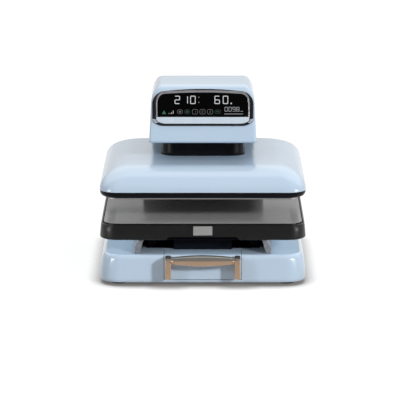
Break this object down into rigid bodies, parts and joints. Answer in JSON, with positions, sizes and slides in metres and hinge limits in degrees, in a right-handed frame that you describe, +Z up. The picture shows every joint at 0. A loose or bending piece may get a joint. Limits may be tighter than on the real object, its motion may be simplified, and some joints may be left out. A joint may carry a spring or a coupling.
{
  "type": "automatic heat press",
  "caption": "Automatic heat press: pale blue base with a pull-out padded tray and copper handle, a motor-driven heated dome above it, and a rear arm with a display head.",
  "frame": {"origin": "on the floor, under the middle of the machine's bounding box", "axes": "+X to the machine's right as the picture shows it, -Y to the front where the handle is, +Z up"},
  "size_m": [0.424, 0.533, 0.4015],
  "materials": {
    "shell_blue": "glossy pale blue",
    "key_blue": "satin pale blue",
    "black_plastic": "fine-grained black",
    "tray_black": "satin black",
    "rubber_black": "matt black",
    "silicone_grey": "smooth grey silicone",
    "copper": "brushed copper tone",
    "steel": "bare",
    "dark_steel": "dark painted",
    "bed_black": "black painted",
    "bracket_grey": "cast, grey",
    "aluminium": "machined",
    "bezel_dark": "dark chrome",
    "display_black": "black gloss window",
    "board_green": "circuit board",
    "wool": "ceramic wool",
    "bronze": "plain bearing bronze"
  },
  "bodies": {
    "frame": {"base_shell": "shell_blue", "base_pan": "dark_steel", "rubber_feet": "rubber_black", "base_screws": "steel", "bed_channel": "bed_black", "slide_outer_members": "dark_steel", "frame_plate_left": "dark_steel", "frame_plate_right": "dark_steel", "column_brace": "dark_steel", "drive_plate": "steel", "guide_block": "aluminium", "guide_bushes": "bronze", "gear_motor": "dark_steel", "screw_bearing": "steel", "column_rear_cover": "shell_blue", "column_front_cover": "black_plastic", "head_shell": "shell_blue", "head_underside": "shell_blue", "display_bezel": "bezel_dark", "display_glass": "display_black", "display_board": "board_green", "control_board": "board_green", "power_board": "board_green", "power_inlet": "black_plastic", "switch_housing": "black_plastic", "frame_bolts": "steel", "cover_screws": "steel"},
    "drawer": {"drawer_front": "shell_blue", "handle_posts": "copper", "handle_bar": "copper", "handle_screws": "steel", "lower_tray": "tray_black", "lower_plate": "aluminium", "silicone_pad": "silicone_grey", "badge_plate": "aluminium", "sled_plate": "dark_steel", "tray_bracket_left": "bracket_grey", "tray_bracket_right": "bracket_grey", "slide_inner_members": "dark_steel"},
    "slide_middle": {"slide_middle_members": "dark_steel"},
    "press_head": {"dome_shell": "shell_blue", "dome_rim": "black_plastic", "heat_plate": "aluminium", "heating_element": "dark_steel", "insulation_blanket": "wool", "mounting_plate": "steel", "standoffs": "steel", "nut_tower": "steel", "drive_nut": "bronze", "guide_rods": "steel", "neck_sleeve": "black_plastic", "thermal_cutout": "aluminium"},
    "screw": {"lead_screw": "steel"},
    "key_body_1": {"key_1": "key_blue"},
    "key_body_2": {"key_2": "key_blue"},
    "key_body_3": {"key_3": "key_blue"},
    "key_body_4": {"key_4": "key_blue"},
    "key_body_5": {"key_5": "key_blue"},
    "rocker": {"power_rocker": "rubber_black"}
  },
  "joints": [
    {"name": "drawer_slide", "type": "slide", "parent": "frame", "child": "drawer", "axis": [0, -1, 0], "range_m": [0, 0.26]},
    {"name": "slide_middle_slide", "type": "slide", "parent": "frame", "child": "slide_middle", "axis": [0, -1, 0], "range_m": [0, 0.13]},
    {"name": "press_travel", "type": "slide", "parent": "frame", "child": "press_head", "axis": [0, 0, -1], "range_m": [0, 0.0475]},
    {"name": "screw_turn", "type": "hinge", "parent": "frame", "child": "screw", "pos_m": [0, -0.0175, 0.3], "axis": [0, 0, 1], "range_deg": [0, 2140]},
    {"name": "key_1_press", "type": "slide", "parent": "frame", "child": "key_body_1", "axis": [0, 0.9903, -0.1392], "range_m": [0, 0.001], "stiffness_N_per_m": 400},
    {"name": "key_2_press", "type": "slide", "parent": "frame", "child": "key_body_2", "axis": [0, 0.9903, -0.1392], "range_m": [0, 0.001], "stiffness_N_per_m": 400},
    {"name": "key_3_press", "type": "slide", "parent": "frame", "child": "key_body_3", "axis": [0, 0.9903, -0.1392], "range_m": [0, 0.001], "stiffness_N_per_m": 400},
    {"name": "key_4_press", "type": "slide", "parent": "frame", "child": "key_body_4", "axis": [0, 0.9903, -0.1392], "range_m": [0, 0.001], "stiffness_N_per_m": 400},
    {"name": "key_5_press", "type": "slide", "parent": "frame", "child": "key_body_5", "axis": [0, 0.9903, -0.1392], "range_m": [0, 0.001], "stiffness_N_per_m": 400},
    {"name": "rocker_tilt", "type": "hinge", "parent": "frame", "child": "rocker", "pos_m": [0.01, 0.2535, 0.102], "axis": [1, 0, 0], "range_deg": [-20, 0]}
  ],
  "couplings": [
    {"joint": "slide_middle_slide", "follows": "drawer_slide", "ratio": 0.5},
    {"joint": "screw_turn", "follows": "press_travel", "rad_per_m": 785.4}
  ]
}
